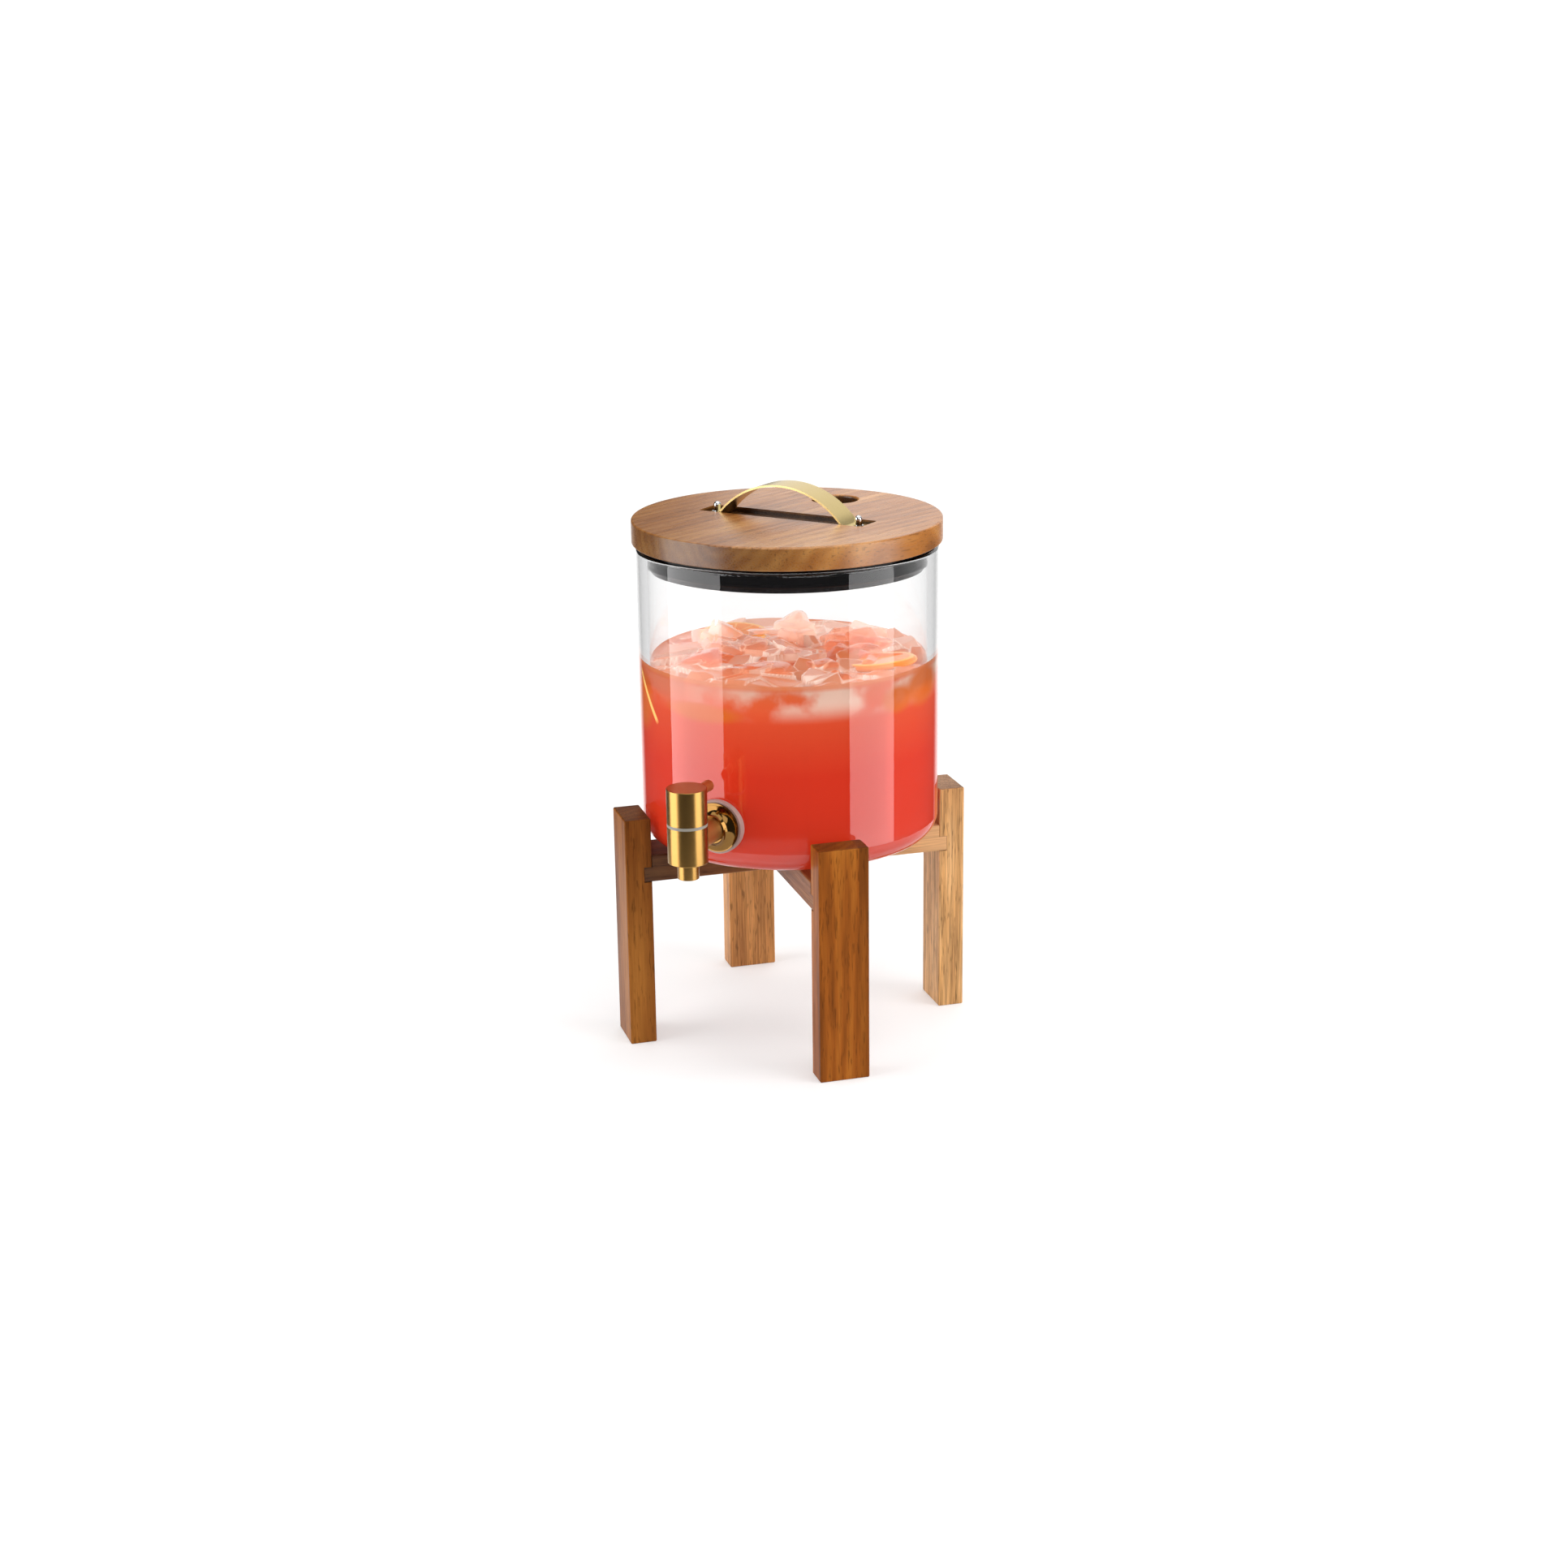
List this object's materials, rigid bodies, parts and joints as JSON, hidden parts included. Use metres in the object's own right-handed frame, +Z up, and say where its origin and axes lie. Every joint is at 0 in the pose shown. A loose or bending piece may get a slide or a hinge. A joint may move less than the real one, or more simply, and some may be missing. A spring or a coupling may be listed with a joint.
{
  "type": "drinks dispenser",
  "caption": "Glass drinks dispenser jar with a quarter-turn brass tap, a wooden lid with a bowed strap handle, and a wooden cross stand.",
  "frame": {"origin": "on the floor under the jar's axis, in the middle of the stand", "axes": "+Z up along the jar's axis; the legs stand on X and Y, with the front leg on -Y"},
  "size_m": [0.233, 0.233, 0.365],
  "materials": {
    "stand_wood": "oiled acacia, laminated strips, soft edges",
    "lid_wood": "oiled acacia with a low sheen",
    "jar_glass": "clear soda-lime glass",
    "clear_silicone": "translucent whitish silicone",
    "tap_brass": "satin turned brass",
    "flange_brass": "polished brass",
    "grey_plastic": "grey acetal",
    "fastener_steel": "plain steel",
    "black_rubber": "smooth black rubber",
    "strap_brass": "pale satin brass strip",
    "nut_chrome": "bright plated"
  },
  "bodies": {
    "stand": {"leg_front": "stand_wood", "leg_left": "stand_wood", "leg_right": "stand_wood", "leg_rear": "stand_wood", "crossbar_lower": "stand_wood", "crossbar_upper": "stand_wood"},
    "jar": {"glass_jar": "jar_glass", "tap_outer_washer": "clear_silicone", "tap_inner_washer": "clear_silicone", "tap_nut": "tap_brass", "tap_stem": "tap_brass", "tap_flange": "flange_brass", "tap_body": "tap_brass", "tap_spout": "tap_brass", "tap_glide_ring": "grey_plastic", "valve_clip": "fastener_steel"},
    "knob": {"tap_cap": "tap_brass", "lever_pin": "tap_brass", "valve_plug": "tap_brass", "valve_orings": "black_rubber"},
    "lid": {"lid_disc": "lid_wood", "lid_seal": "black_rubber", "handle_strap": "strap_brass", "handle_nuts": "nut_chrome", "handle_screws": "fastener_steel"}
  },
  "joints": [
    {"name": "jar_lift", "type": "slide", "parent": "stand", "child": "jar", "axis": [0, 0, 1], "range_m": [0, 0.1]},
    {"name": "tap_turn", "type": "hinge", "parent": "jar", "child": "knob", "pos_m": [-0.09531, -0.09869, 0.1637], "axis": [0, 0, 1], "range_deg": [0, 90]},
    {"name": "lid_lift", "type": "slide", "parent": "jar", "child": "lid", "axis": [0, 0, 1], "range_m": [0, 0.2]}
  ]
}
